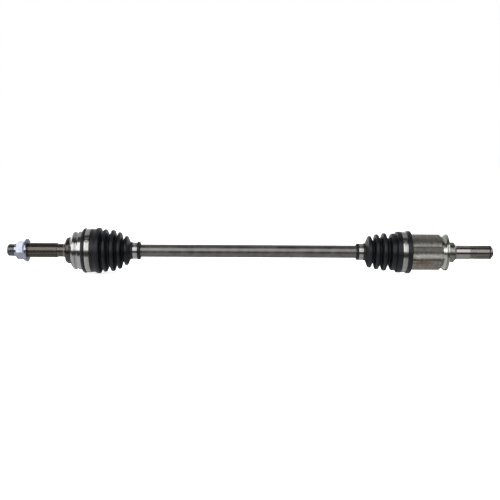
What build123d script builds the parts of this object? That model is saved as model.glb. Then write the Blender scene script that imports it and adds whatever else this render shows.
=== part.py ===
from build123d import *
import math
import os

# A front drive axle: a fixed ball joint at the wheel end, a plunging tripod joint at the gearbox end
# and a solid bar between them. Millimetres. The axle lies along X with its wheel end at -X, and the
# origin is on the axis, midway between the two tips. All angles about X are counted from +Y to +Z.

# ------------------------------------------------------------------ driving dimensions
overall_length = 875.0  # thread tip to gearbox spline tip
seat_gap = 0.05  # radial play of a fit between two seated pieces
motion_gap = 0.3  # room between surfaces that move past each other
stack_gap = 0.1  # axial play between stacked pieces
overcut = 1.0  # how far a cutting shape runs past the surface that it opens
edge_break = 0.6  # small chamfer on a turned edge
corner_step = 0.4  # length along the axle of a sharp step between two radii
same_place = 0.01  # two points nearer than this are one

# the gap between two teeth of a spline: its half width at the floor and at the tips, as shares of
# the pitch, and how much it flares for each millimetre past the tips
gap_floor_share = 0.16
gap_mouth_share = 0.30
gap_flare = 0.33

# wheel-end stub shaft
thread_r = 11.0  # M22 x 1.5
thread_pitch = 1.5
thread_depth = 0.8
# one turn of the thread: share of the pitch, and share of the depth that is cut there
thread_steps = ((0.2, 0), (0.5, 1), (0.6, 1), (0.9, 0))
thread_length = 37.0
thread_lead_in = 2.5
hub_spline_r = 13.3
hub_spline_length = 54.2
hub_spline_teeth = 26
hub_spline_depth = 1.1
stub_neck_r = 12.0
stub_neck_length = 12.0
stub_root_length = 2.3  # the last step before the bell
stub_root_rise = 1.9
centre_drill_r = 3.0
drill_angle = 30.0  # degrees from the axis to a centre drill's cone

# ball joint
ball_r = 7.0
ball_count = 6
ball_pitch_r = 24.0
bend_limit = 45.0  # degrees each way
track_margin = 0.15
track_overrun = 3.5  # degrees that a track runs past the ball at full bend
neck_room = 0.7  # between the bar's neck and the bell's mouth at full bend
race_half_width = 10.0
race_drop = 1.7  # how far the race's crown lies under the balls' centres
cage_half_width = 11.5
cage_wall = 4.6
window_length = 18.0
window_play = 0.2
window_round = 3.0
bell_wall = 2.75  # outside the ball tracks
bell_mouth = 15.3  # joint centre to the open face
bell_depth = 36.0  # joint centre to the shoulder that meets the hub
bell_shoulder_drop = 17.3
# the outside of the bell: distance from its shoulder, and how far it lies under the bell's radius
bell_profile = (
    (0.6, 14.0),  # forged boss
    (3.0, 11.6),
    (5.5, 10.9),
    (8.5, 10.6),
    (10.5, 8.0),  # rolled bead
    (13.0, 3.2),
    (15.0, 1.0),
    (16.8, 0.3),
    (18.6, 0.4),
    (20.2, 1.3),
    (21.3, 2.4),  # groove
    (22.6, 2.4),
    (23.9, 0.6),  # turned seat of the boot
    (25.2, 0.0),
)

# axle nut
nut_across_flats = 30.0
nut_hex_length = 12.9
nut_collar_r = 12.4
nut_collar_length = 3.9
nut_flange_r = 21.2
nut_rim_length = 3.4
nut_cone_length = 3.4
nut_cone_rise = 0.7  # the cone's small end, over the corners
nut_web = 2.0  # how far the cone's blend runs back into the flats
nut_turn = 9.0  # degrees from a corner pointing along Y
nut_chamfer = 1.3

# bar
bar_r = 11.5
bar_neck_drop = 1.2  # how far the necks lie under the bar's radius
bar_neck_reach = 36.0  # how far the outer neck runs from the ball joint's centre
bar_taper = 8.0
bar_spline_teeth = 24
bar_spline_depth = 0.9
bar_spline_lead = 3.0  # spline in front of the tripod's back ring
ring_width = 1.4
ring_groove_depth = 1.4
ring_rise = 1.7  # how far a snap ring stands out of the bar
bar_tip_past_ring = 1.6
bar_chamfer = 1.0
bar_shoulder = 2.0  # cone between a spline and a neck

# tripod joint
trunnion_count = 3
trunnion_pitch_r = 21.3  # axle axis to the middle of a roller
trunnion_r = 7.5
needle_r = 1.2
needle_gap = 0.03
needle_spacing = 0.06
needle_end_play = 0.2
roller_r = 14.5
roller_width = 8.6
roller_track_play = 0.6
washer_thickness = 0.6
washer_overlap = 1.2  # on the roller's face
clip_thickness = 0.8
clip_depth = 0.8
clip_rise = 1.1
trunnion_tip = 0.35
trunnion_chamfer = 0.8
spider_hub_r = 15.5
spider_half_width = 11.0
spider_chamfer = 1.5
tripod_bend_limit = 13.0  # degrees each way
plunge_in = 15.0  # how far the housing can slide towards the wheel end

# tripod housing
housing_r = 32.4
housing_mouth = 28.0  # joint centre to the open face
housing_cup_depth = 42.0  # joint centre to the floor of the cup
housing_bore_r = 18.5
housing_wall = 3.2  # outside the roller tracks
housing_end_wall = 9.5
housing_end_chamfer = 4.0
valley_r = 16.8
valley_floor_r = 23.5
deflector_seat_r = 24.0
deflector_length = 10.6
deflector_cone_r = 28.0
deflector_rim_r = 33.4
deflector_cone_length = 5.6
deflector_wall = 2.0
deflector_groove = 2.0  # width and depth of the groove between cone and rim
boss_r = 18.1
boss_length = 12.0
boss_chamfer = 3.5
journal_r = 12.6
journal_length = 25.0
journal_groove = 0.8
journal_groove_length = 1.2
journal_root_rise = 1.4
relief_r = 12.1
relief_length = 11.0
gearbox_spline_r = 12.5
gearbox_spline_length = 31.5
gearbox_spline_teeth = 24
gearbox_spline_depth = 1.0
gearbox_clip_from_tip = 6.5
gearbox_clip_r = 0.9
gearbox_clip_sink = 0.1  # how far the wire lies under the spline's tips
gearbox_clip_arc = 330.0
gearbox_nose_r = 8.0
gearbox_nose_length = 4.0

# boots and clamps
boot_wall = 3.8
boot_bellows_wall = 3.0
boot_small_wall = 2.7
boot_insert_wall = 1.75  # under the band that holds the insert
band_thickness = 0.8
band_round = 0.24
outer_band_width = 8.5
inner_band_width = 8.5
small_band_width = 8.0
outer_band_inset = 13.3  # the bell's open face back to its band
outer_small_reach = 69.6  # the bell's open face to the band on the bar
inner_band_inset = 7.2  # the housing's open face to its band
inner_small_reach = 68.8  # the housing's open face to the far edge of the band on the bar
lock_height = 0.9
lock_sink = 0.1  # how far the lock runs into the band
lock_inset = 1.25  # from each edge of the band
lock_arc = 26.0
lock_turn = 147.0  # degrees about X to the middle of each band's lock
insert_wall = 1.6
insert_length = 22.0
# each crest: its place between the bellows' two ends, and its height between their two radii
outer_boot_crests = ((0.123, 1.118), (0.288, 0.993), (0.512, 0.944), (0.699, 0.789), (0.883, 0.498))
inner_boot_crests = ((0.114, 0.889), (0.4, 0.926), (0.643, 0.824), (0.864, 0.675))
outer_boot_fold = 9.5  # from a crest down to the root beside it
inner_boot_fold = 11.0
crest_half = 2.2
crest_round = 2.6
root_round = 1.2
# each lip beside a band: distance from the band's edge, and height over the band's seat
outer_open_lip = ((6.7, -2.0), (5.2, 0.4), (2.7, 1.5), (0.6, 1.5), (0.3, 0.0))
outer_fold_lip = ((0.3, 0.0), (0.6, 0.3), (6.3, 0.3))
outer_small_fold_lip = ((4.6, 1.2), (0.6, 0.6), (0.3, 0.0))
outer_small_open_lip = ((0.3, 0.0), (0.6, 1.5), (4.2, 1.5), (5.4, -0.4))
inner_open_lip = ((8.7, 0.0), (7.5, 2.55), (1.2, 2.55), (0.4, 0.0))
inner_fold_lip = ((0.4, 0.0), (0.8, 1.35), (8.2, 1.35))
inner_small_fold_lip = ((3.8, 1.6), (0.6, 0.8), (0.3, 0.0))
inner_small_open_lip = ((0.3, 0.0), (0.6, 0.9), (3.7, 0.9), (4.7, -0.4))

# ------------------------------------------------------------------ worked-out sizes and stations
wheel_tip = -overall_length / 2
gearbox_tip = overall_length / 2

hub_spline_x = wheel_tip + thread_length
stub_neck_x = hub_spline_x + hub_spline_length
bell_shoulder_x = stub_neck_x + stub_neck_length + stub_root_length
ball_centre = bell_shoulder_x + bell_depth
bell_end = ball_centre + bell_mouth

half_bend = math.radians(bend_limit / 2)
race_r = ball_pitch_r - race_drop
bar_neck_r = bar_r - bar_neck_drop
track_r = ball_r + ball_pitch_r / 2 * (1 - math.cos(half_bend)) + track_margin
cage_inner_r = race_r + motion_gap
cage_outer_r = cage_inner_r + cage_wall
cavity_r = cage_outer_r + motion_gap
bell_r = ball_pitch_r + track_r + bell_wall
track_sweep = bend_limit / 2 + math.degrees(math.asin(ball_r / ball_pitch_r)) + track_overrun

gearbox_spline_x = gearbox_tip - gearbox_spline_length
journal_x = gearbox_spline_x - relief_length - journal_length
boss_x = journal_x - boss_length - boss_chamfer
deflector_x = boss_x - deflector_length
cup_floor = deflector_x - housing_end_wall
tripod_centre = cup_floor - housing_cup_depth
housing_end = tripod_centre - housing_mouth

housing_back_r = housing_r - housing_wall
roller_bore_r = trunnion_r + 2 * needle_r + 2 * needle_gap
needle_ring_r = trunnion_r + needle_r + needle_gap
needle_count = int(2 * math.pi * needle_ring_r / (2 * needle_r + needle_spacing))
washer_y = trunnion_pitch_r + roller_width / 2 + stack_gap
clip_y = washer_y + washer_thickness + seat_gap
trunnion_end = clip_y + clip_thickness + trunnion_tip
trunnion_angles = [i * 360 / trunnion_count for i in range(trunnion_count)]
ball_angles = [i * 360 / ball_count for i in range(ball_count)]

ring_outer_r = bar_r + ring_rise
outer_ring_x = ball_centre - race_half_width - stack_gap - ring_width
inner_ring_x = tripod_centre + spider_half_width + stack_gap
back_ring_x = tripod_centre - spider_half_width - stack_gap - ring_width
bar_start = outer_ring_x - bar_tip_past_ring
bar_end = inner_ring_x + ring_width + bar_tip_past_ring
bar_spline_start = back_ring_x - bar_spline_lead

# boots: where each band sits
outer_band_x = bell_end - outer_band_inset
outer_small_band_x = bell_end + outer_small_reach
inner_band_x = housing_end + inner_band_inset
inner_small_band_x = housing_end - inner_small_reach
inner_small_fold_x = inner_small_band_x + small_band_width + inner_small_fold_lip[0][0]
cuff_inner_r = bell_r + seat_gap
outer_band_seat = cuff_inner_r + boot_wall
insert_r = housing_r + insert_wall
inner_cuff_r = insert_r + seat_gap
inner_band_seat = inner_cuff_r + boot_insert_wall
small_cuff_r = bar_r + seat_gap
small_band_seat = small_cuff_r + boot_small_wall

os.makedirs("parts", exist_ok=True)


# ------------------------------------------------------------------ shared shapes
def ring(points):
    """A solid of revolution about the axle's axis, from its (x, radius) outline."""
    with BuildPart() as turned:
        with BuildSketch(Plane.XY):
            with BuildLine():
                Polyline(*points, close=True)
            make_face()
        revolve(axis=Axis.X)
    return turned.part


def spline_gap(tip_r, depth, teeth, play=0.0):
    """The trapezium between two spline teeth; play narrows it, for the mating inside spline."""
    pitch = 2 * math.pi * tip_r / teeth
    floor_half = gap_floor_share * pitch - play
    mouth_half = gap_mouth_share * pitch - play + overcut * gap_flare
    floor = tip_r - depth + play
    mouth = tip_r + overcut
    return [(floor, -floor_half), (mouth, -mouth_half), (mouth, mouth_half), (floor, floor_half)]


def splined_bore(tip_r, depth, teeth, start, length):
    """The solid that leaves a splined hole when it is taken away from a hub."""
    with BuildPart() as bore:
        with BuildSketch(Plane.YZ.offset(start)):
            Circle(tip_r + seat_gap)
            with PolarLocations(0, teeth):
                Polygon(*spline_gap(tip_r, depth, teeth, seat_gap), align=None, mode=Mode.SUBTRACT)
        extrude(amount=length)
    return bore.part


def spline_cuts(tip_r, depth, teeth, start, length):
    """The solid gaps that turn a plain shaft into a splined one."""
    with BuildPart() as cuts:
        with BuildSketch(Plane.YZ.offset(start)):
            with PolarLocations(0, teeth):
                Polygon(*spline_gap(tip_r, depth, teeth), align=None)
        extrude(amount=length)
    return cuts.part


def snap_ring(start, inner_r, outer_r, width):
    """An open ring: a flat washer with a gap on its +Z side."""
    with BuildPart() as clip:
        with BuildSketch(Plane.YZ.offset(start)):
            Circle(outer_r)
            Circle(inner_r, mode=Mode.SUBTRACT)
            with Locations((0, outer_r)):
                Rectangle(outer_r / 3, outer_r, mode=Mode.SUBTRACT)
        extrude(amount=width)
    return clip.part


def band_clamp(start, width, seat_r):
    """A flat steel band around a boot's cuff, with the raised lock that joins its two ends."""
    inner_r = seat_r + seat_gap
    outer_r = inner_r + band_thickness
    with BuildPart() as clamp:
        with BuildSketch(Plane.XY):
            with Locations((start + width / 2, inner_r + band_thickness / 2)):
                RectangleRounded(width, band_thickness, band_round)
        revolve(axis=Axis.X)
        with BuildSketch(Plane.XY.rotated((lock_turn - lock_arc / 2, 0, 0))):
            with Locations((start + width / 2, outer_r + (lock_height - lock_sink) / 2)):
                Rectangle(width - 2 * lock_inset, lock_height + lock_sink)
        revolve(axis=Axis.X, revolution_arc=lock_arc)
    return clamp.part


def drill(tip_x, inward):
    """The cone of a centre drill in a shaft's tip; inward is the direction along X that it cuts."""
    slope = math.tan(math.radians(drill_angle))
    mouth_x = tip_x - inward * overcut
    point_x = tip_x + inward * centre_drill_r / slope
    return ring([(mouth_x, 0), (mouth_x, centre_drill_r + overcut * slope), (point_x, 0)])


def cuff(band_x, width, seat_r, first_lip, second_lip, side):
    """The outside of a cuff: a lip, the band's seat, a lip; side is +1 or -1 along X."""
    middle = band_x + width / 2
    outline = [(middle - side * (width / 2 + away), seat_r + rise) for away, rise in first_lip]
    outline += [(middle + side * (width / 2 + away), seat_r + rise) for away, rise in second_lip]
    return outline


def bellows(large_cuff, small_cuff, cuff_r, small_r, crests, fold):
    """The outside of a boot's folds, from the large cuff to the small one: the crests and the roots."""
    cuff_x = large_cuff[-1][0]
    length = small_cuff[0][0] - cuff_x
    half = math.copysign(crest_half, length)
    tops = [(cuff_x + place * length, small_r + height * (cuff_r - small_r)) for place, height in crests]
    roots = []
    for crest, following in zip(tops, tops[1:]):
        low = min(crest[1], following[1]) - fold
        roots.append(((crest[0] + following[0]) / 2, max(low, small_r + root_round)))
    flats = [(x + side * half, r) for x, r in tops for side in (-1, 1)]
    return flats, roots


def corners_at(section, places):
    """The corners of a section that stand at the given places along X."""
    wanted = [x for x, _ in places]
    return [corner for corner in section.vertices() if min(abs(corner.X - x) for x in wanted) < same_place]


def boot(large_cuff, crests, roots, small_cuff, inner_large, inner_small):
    """A rubber boot, from the outline of its two cuffs and its folds, and the bores of the cuffs."""
    folds = sorted([*crests, *roots], reverse=large_cuff[0][0] > small_cuff[0][0])
    outside = [*large_cuff, *folds, *small_cuff]
    lined = [(x, r - boot_bellows_wall) for x, r in folds]
    first, last = large_cuff[-1][0], small_cuff[0][0]
    inside = [(small_cuff[-1][0], inner_small), (last, inner_small), *reversed(lined)]
    inside += [(first, inner_large), (large_cuff[0][0], inner_large)]
    with BuildPart() as rubber:
        with BuildSketch(Plane.XY) as section:
            with BuildLine():
                Polyline(*outside, *inside, close=True)
            make_face()
            fillet(corners_at(section, roots), root_round)
            fillet(corners_at(section, crests), crest_round)
        revolve(axis=Axis.X)
    return rubber.part


def save(part, name):
    """Names a finished piece and writes it out."""
    part.label = name
    export_step(part, f"parts/{name}.step")


# ------------------------------------------------------------------ wheel-end joint housing
# one track: a round groove that follows a circle about the joint's centre
bend_axis = Axis((ball_centre, 0, 0), (0, 0, 1))
with BuildPart() as ball_track:
    with BuildSketch(Plane.YZ.offset(ball_centre)):
        with Locations((ball_pitch_r, 0)):
            Circle(track_r)
    revolve(axis=bend_axis, revolution_arc=2 * track_sweep)
level_track = ball_track.part.rotate(bend_axis, -track_sweep)

thread_count = int((thread_length - thread_lead_in - edge_break) / thread_pitch)
thread_start = wheel_tip + thread_lead_in
thread_line = [(wheel_tip, 0), (wheel_tip, thread_r - thread_lead_in), (thread_start, thread_r)]
for i in range(thread_count):
    turn_x = thread_start + i * thread_pitch
    for share, cut in thread_steps:
        thread_line.append((turn_x + share * thread_pitch, thread_r - cut * thread_depth))
stub_line = [
    (hub_spline_x, thread_r),
    (hub_spline_x, hub_spline_r - edge_break),
    (hub_spline_x + edge_break, hub_spline_r),
    (stub_neck_x - 2 * edge_break, hub_spline_r),
    (stub_neck_x, stub_neck_r),
    (stub_neck_x + stub_neck_length - stub_root_rise, stub_neck_r),
    (stub_neck_x + stub_neck_length, stub_neck_r + stub_root_rise - edge_break),
    (bell_shoulder_x, stub_neck_r + stub_root_rise),
    (bell_shoulder_x, bell_r - bell_shoulder_drop),
]
bell_line = [(bell_shoulder_x + along, bell_r - drop) for along, drop in bell_profile]
bell_line += [(bell_end - edge_break, bell_r), (bell_end, bell_r - edge_break), (bell_end, 0)]
with BuildPart() as outer_joint_housing:
    add(ring([*thread_line, *stub_line, *bell_line]))
    hub_gaps = spline_cuts(
        hub_spline_r, hub_spline_depth, hub_spline_teeth, hub_spline_x, hub_spline_length
    )
    add(hub_gaps, mode=Mode.SUBTRACT)
    with Locations((ball_centre, 0, 0)):
        Sphere(cavity_r, mode=Mode.SUBTRACT)
    # the mouth flares along the line that the bar's neck takes at full bend
    slope = math.radians(bend_limit)
    flare_apex = ball_centre - (bar_neck_r + neck_room) / math.sin(slope)
    flare_end = bell_end + overcut
    flare_r = (flare_end - flare_apex) * math.tan(slope)
    add(ring([(flare_apex, 0), (flare_end, flare_r), (flare_end, 0)]), mode=Mode.SUBTRACT)
    for angle in ball_angles:
        add(level_track.rotate(Axis.X, angle), mode=Mode.SUBTRACT)
    add(drill(wheel_tip, 1), mode=Mode.SUBTRACT)
save(outer_joint_housing.part, "outer_joint_housing")

# ------------------------------------------------------------------ axle nut
nut_back = hub_spline_x
nut_rim_x = nut_back - nut_rim_length
nut_hex_end = nut_rim_x - nut_cone_length
nut_hex_x = nut_hex_end - nut_hex_length
corner_r = nut_across_flats / math.sqrt(3)
with BuildPart() as axle_nut:
    with BuildSketch(Plane.YZ.offset(nut_hex_x)):
        RegularPolygon(nut_across_flats / 2, 6, major_radius=False, rotation=nut_turn)
    extrude(amount=nut_hex_length + nut_cone_length)
    envelope = [
        (nut_hex_x, 0),
        (nut_hex_x, corner_r - 2 * nut_chamfer),
        (nut_hex_x + nut_chamfer, corner_r),
        (nut_back, corner_r),
        (nut_back, 0),
    ]
    add(ring(envelope), mode=Mode.INTERSECT)
    flange = [
        (nut_hex_end - nut_web, 0),
        (nut_hex_end - nut_web, nut_across_flats / 2 - edge_break),
        (nut_hex_end, corner_r + nut_cone_rise),
        (nut_rim_x, nut_flange_r - edge_break / 2),
        (nut_rim_x + edge_break, nut_flange_r),
        (nut_back - 2 * edge_break, nut_flange_r),
        (nut_back, nut_flange_r - 2 * edge_break),
        (nut_back, 0),
    ]
    add(ring(flange))
    collar_x = nut_hex_x - nut_collar_length
    collar = [
        (collar_x, 0),
        (collar_x, nut_collar_r - edge_break),
        (collar_x + edge_break, nut_collar_r),
        (nut_hex_x + nut_chamfer, nut_collar_r),
        (nut_hex_x + nut_chamfer, 0),
    ]
    add(ring(collar))
    bore_r = thread_r + seat_gap
    bore_start, bore_end = collar_x - overcut, nut_back + overcut
    bore = ring([(bore_start, 0), (bore_start, bore_r), (bore_end, bore_r), (bore_end, 0)])
    add(bore, mode=Mode.SUBTRACT)
save(axle_nut.part, "axle_nut")

# ------------------------------------------------------------------ inner race, cage and balls
with BuildPart() as outer_inner_race:
    with Locations((ball_centre, 0, 0)):
        Sphere(race_r)
        Box(2 * race_half_width, 3 * race_r, 3 * race_r, mode=Mode.INTERSECT)
    for angle in ball_angles:
        add(level_track.rotate(Axis.X, angle), mode=Mode.SUBTRACT)
    race_start = ball_centre - race_half_width - overcut
    race_through = 2 * (race_half_width + overcut)
    hole = splined_bore(bar_r, bar_spline_depth, bar_spline_teeth, race_start, race_through)
    add(hole, mode=Mode.SUBTRACT)
save(outer_inner_race.part, "outer_inner_race")

with BuildPart() as window:
    with BuildSketch(Plane.XZ.offset(-2 * cage_outer_r)):
        with Locations((ball_centre, 0)):
            RectangleRounded(2 * (ball_r + window_play), window_length, window_round)
    extrude(amount=2 * cage_outer_r)

with BuildPart() as ball_cage:
    with Locations((ball_centre, 0, 0)):
        Sphere(cage_outer_r)
        Box(2 * cage_half_width, 3 * cage_outer_r, 3 * cage_outer_r, mode=Mode.INTERSECT)
        Sphere(cage_inner_r, mode=Mode.SUBTRACT)
    for angle in ball_angles:
        add(window.part.rotate(Axis.X, angle), mode=Mode.SUBTRACT)
save(ball_cage.part, "ball_cage")

for number, angle in enumerate(ball_angles, 1):
    with BuildPart() as ball:
        turn = math.radians(angle)
        with Locations((ball_centre, ball_pitch_r * math.cos(turn), ball_pitch_r * math.sin(turn))):
            Sphere(ball_r)
    save(ball.part, f"joint_ball_{number}")

# ------------------------------------------------------------------ bar and the rings in its grooves
groove_floor = bar_r - ring_groove_depth
neck_end = ball_centre + bar_neck_reach
inner_neck_x = inner_small_fold_x + bar_taper
race_spline_end = ball_centre + race_half_width + bar_shoulder
with BuildPart() as axle_bar:
    bar_line = [
        (bar_start, 0),
        (bar_start, bar_r - bar_chamfer),
        (bar_start + bar_chamfer, bar_r),
        (race_spline_end, bar_r),
        (race_spline_end + bar_shoulder, bar_neck_r),
        (neck_end, bar_neck_r),
        (neck_end + bar_taper, bar_r),
        (inner_neck_x, bar_r),
        (inner_neck_x + bar_taper, bar_neck_r),
        (bar_spline_start - bar_shoulder, bar_neck_r),
        (bar_spline_start, bar_r),
        (bar_end - bar_chamfer, bar_r),
        (bar_end, bar_r - bar_chamfer),
        (bar_end, 0),
    ]
    add(ring(bar_line))
    for start in (outer_ring_x, back_ring_x, inner_ring_x):
        groove = [(start - seat_gap, groove_floor), (start + ring_width + seat_gap, groove_floor)]
        groove += [(start + ring_width + seat_gap, bar_r + overcut), (start - seat_gap, bar_r + overcut)]
        add(ring(groove), mode=Mode.SUBTRACT)
    for start, end in (
        (bar_start, race_spline_end + overcut),
        (bar_spline_start - overcut, bar_end),
    ):
        gaps = spline_cuts(bar_r, bar_spline_depth, bar_spline_teeth, start, end - start)
        add(gaps, mode=Mode.SUBTRACT)
save(axle_bar.part, "axle_bar")

for name, start in (
    ("race_snap_ring", outer_ring_x),
    ("spider_back_ring", back_ring_x),
    ("spider_front_ring", inner_ring_x),
):
    save(snap_ring(start, groove_floor + seat_gap, ring_outer_r, ring_width), name)

# ------------------------------------------------------------------ tripod spider, rollers and needles
trunnion_line = [
    (tripod_centre, 0),
    (tripod_centre + trunnion_r, 0),
    (tripod_centre + trunnion_r, clip_y - seat_gap),
    (tripod_centre + trunnion_r - clip_depth, clip_y - seat_gap),
    (tripod_centre + trunnion_r - clip_depth, clip_y + clip_thickness + seat_gap),
    (tripod_centre + trunnion_r, clip_y + clip_thickness + seat_gap),
    (tripod_centre + trunnion_r - trunnion_chamfer, trunnion_end),
    (tripod_centre, trunnion_end),
]
with BuildPart() as trunnion:
    with BuildSketch(Plane.XY):
        with BuildLine():
            Polyline(*trunnion_line, close=True)
        make_face()
    revolve(axis=Axis((tripod_centre, 0, 0), (0, 1, 0)))

with BuildPart() as tripod_spider:
    hub_start = tripod_centre - spider_half_width
    hub_end = tripod_centre + spider_half_width
    hub_line = [
        (hub_start, 0),
        (hub_start, spider_hub_r - spider_chamfer),
        (hub_start + spider_chamfer, spider_hub_r),
        (hub_end - spider_chamfer, spider_hub_r),
        (hub_end, spider_hub_r - spider_chamfer),
        (hub_end, 0),
    ]
    add(ring(hub_line))
    for angle in trunnion_angles:
        add(trunnion.part.rotate(Axis.X, angle))
    hub_through = 2 * (spider_half_width + overcut)
    hole = splined_bore(bar_r, bar_spline_depth, bar_spline_teeth, hub_start - overcut, hub_through)
    add(hole, mode=Mode.SUBTRACT)
save(tripod_spider.part, "tripod_spider")

# each of these is made on the +Y trunnion and turned about the axle to the others
trunnion_plane = Plane(origin=(tripod_centre, 0, 0), x_dir=(1, 0, 0), z_dir=(0, 1, 0))

with BuildPart() as roller_shape:
    with Locations((tripod_centre, trunnion_pitch_r, 0)):
        Sphere(roller_r)
        Box(3 * roller_r, roller_width, 3 * roller_r, mode=Mode.INTERSECT)
    with BuildSketch(trunnion_plane.offset(trunnion_pitch_r - roller_width)):
        Circle(roller_bore_r)
    extrude(amount=2 * roller_width, mode=Mode.SUBTRACT)

with BuildPart() as needle_shape:
    needle_length = roller_width - 2 * needle_end_play
    with BuildSketch(trunnion_plane.offset(trunnion_pitch_r - needle_length / 2)):
        with PolarLocations(needle_ring_r, needle_count):
            Circle(needle_r)
    extrude(amount=needle_length)

with BuildPart() as washer_shape:
    with BuildSketch(trunnion_plane.offset(washer_y)):
        Circle(roller_bore_r + washer_overlap)
        Circle(trunnion_r + seat_gap, mode=Mode.SUBTRACT)
    extrude(amount=washer_thickness)

with BuildPart() as clip_shape:
    with BuildSketch(trunnion_plane.offset(clip_y)):
        Circle(trunnion_r + clip_rise)
        Circle(trunnion_r - clip_depth + seat_gap, mode=Mode.SUBTRACT)
        with Locations((trunnion_r, 0)):
            Rectangle(trunnion_r, trunnion_r / 2, mode=Mode.SUBTRACT)
    extrude(amount=clip_thickness)

for number, angle in enumerate(trunnion_angles, 1):
    save(roller_shape.part.rotate(Axis.X, angle), f"tripod_roller_{number}")
    save(needle_shape.part.rotate(Axis.X, angle), f"needle_rollers_{number}")
    save(washer_shape.part.rotate(Axis.X, angle), f"needle_washer_{number}")
    save(clip_shape.part.rotate(Axis.X, angle), f"roller_clip_{number}")


# ------------------------------------------------------------------ tripod housing
def lobed_section(growth):
    """The housing's outline across its axis: a round with a hollow valley opposite each trunnion."""
    with BuildSketch(Plane.YZ.offset(housing_end)) as outline:
        Circle(housing_r + growth)
        with PolarLocations(valley_floor_r + valley_r, trunnion_count, start_angle=180):
            Circle(valley_r - growth, mode=Mode.SUBTRACT)
    return outline.sketch_local


cup_length = cup_floor - housing_end
valley_length = cup_length + housing_end_wall
clip_groove_x = gearbox_tip - gearbox_clip_from_tip
with BuildPart() as inner_joint_housing:
    cup_end = cup_floor + housing_end_wall
    cup_line = [
        (housing_end, 0),
        (housing_end, housing_r),
        (cup_end - housing_end_chamfer, housing_r),
        (cup_end, deflector_cone_r),
        (cup_end, deflector_seat_r),
        (boss_x, deflector_seat_r),
        (boss_x, boss_r),
        (boss_x + boss_length, boss_r),
        (journal_x, journal_r + journal_root_rise),
        (journal_x, journal_r - journal_groove),
        (journal_x + journal_groove_length, journal_r - journal_groove),
        (journal_x + journal_groove_length, journal_r),
        (journal_x + journal_length, journal_r),
        (journal_x + journal_length + corner_step, relief_r),
        (gearbox_spline_x, relief_r),
        (gearbox_spline_x + corner_step, gearbox_spline_r),
        (gearbox_tip - gearbox_nose_length, gearbox_spline_r),
        (gearbox_tip, gearbox_nose_r),
        (gearbox_tip, 0),
    ]
    add(ring(cup_line))
    with BuildSketch(Plane.YZ.offset(housing_end)):
        with PolarLocations(valley_floor_r + valley_r, trunnion_count, start_angle=180):
            Circle(valley_r)
    extrude(amount=valley_length, mode=Mode.SUBTRACT)
    # the roller tracks and the round bore between them
    with BuildSketch(Plane.YZ.offset(housing_end)):
        with PolarLocations(trunnion_pitch_r, trunnion_count):
            Circle(roller_r + roller_track_play)
        Circle(housing_back_r, mode=Mode.INTERSECT)
        Circle(housing_bore_r)
    extrude(amount=cup_length, mode=Mode.SUBTRACT)
    # the mouth flares to clear the bar's neck at full bend with the housing pushed in
    lean = math.radians(tripod_bend_limit)
    far = housing_mouth + plunge_in
    mouth_r = far * math.tan(lean) + bar_neck_r / math.cos(lean) + motion_gap
    flare_depth = (mouth_r - housing_bore_r) / math.tan(lean)
    mouth = [(housing_end, 0), (housing_end, mouth_r), (housing_end + flare_depth, housing_bore_r)]
    mouth.append((housing_end + flare_depth, 0))
    add(ring(mouth), mode=Mode.SUBTRACT)
    gearbox_gaps = spline_cuts(
        gearbox_spline_r,
        gearbox_spline_depth,
        gearbox_spline_teeth,
        gearbox_spline_x,
        gearbox_spline_length,
    )
    add(gearbox_gaps, mode=Mode.SUBTRACT)
    half_slot = gearbox_clip_r + seat_gap
    slot_floor = gearbox_spline_r - 2 * gearbox_clip_r - motion_gap
    slot_top = gearbox_spline_r + overcut
    slot = [(clip_groove_x - half_slot, slot_floor), (clip_groove_x + half_slot, slot_floor)]
    slot += [(clip_groove_x + half_slot, slot_top), (clip_groove_x - half_slot, slot_top)]
    add(ring(slot), mode=Mode.SUBTRACT)
    add(drill(gearbox_tip, -1), mode=Mode.SUBTRACT)
save(inner_joint_housing.part, "inner_joint_housing")

with BuildPart() as boot_insert:
    with BuildSketch(Plane.YZ.offset(housing_end)):
        Circle(insert_r)
        add(lobed_section(seat_gap), mode=Mode.SUBTRACT)
    extrude(amount=insert_length)
save(boot_insert.part, "boot_insert")

# the deflector is pressed on its seat and ends flush with the boss
cone_end = deflector_x + deflector_cone_length
rim_x = cone_end + deflector_groove
hollow_x = boss_x - deflector_groove
deflector_line = [
    (deflector_x + seat_gap, deflector_seat_r + seat_gap),
    (deflector_x + seat_gap, deflector_cone_r),
    (cone_end, deflector_rim_r - edge_break),
    (cone_end + corner_step, deflector_rim_r - deflector_groove),
    (rim_x - 2 * corner_step, deflector_rim_r - deflector_groove),
    (rim_x - corner_step, deflector_rim_r - edge_break),
    (rim_x, deflector_rim_r),
    (boss_x - edge_break, deflector_rim_r),
    (boss_x, deflector_rim_r - edge_break),
    (boss_x, deflector_rim_r - deflector_wall),
    (hollow_x, deflector_rim_r - deflector_wall),
    (hollow_x, deflector_seat_r + deflector_wall),
    (boss_x, deflector_seat_r + deflector_wall),
    (boss_x, deflector_seat_r + seat_gap),
]
save(ring(deflector_line), "dust_deflector")

with BuildPart() as gearbox_clip:
    with BuildSketch(Plane.XY):
        with Locations((clip_groove_x, gearbox_spline_r - gearbox_clip_r - gearbox_clip_sink)):
            Circle(gearbox_clip_r)
    revolve(axis=Axis.X, revolution_arc=gearbox_clip_arc)
save(gearbox_clip.part, "gearbox_clip")

# ------------------------------------------------------------------ boots
outer_cuff = cuff(outer_band_x, outer_band_width, outer_band_seat, outer_open_lip, outer_fold_lip, 1)
outer_small_cuff = cuff(
    outer_small_band_x, small_band_width, small_band_seat, outer_small_fold_lip, outer_small_open_lip, 1
)
crests, roots = bellows(
    outer_cuff, outer_small_cuff, outer_band_seat, small_band_seat, outer_boot_crests, outer_boot_fold
)
save(boot(outer_cuff, crests, roots, outer_small_cuff, cuff_inner_r, small_cuff_r), "outer_boot")

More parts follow.
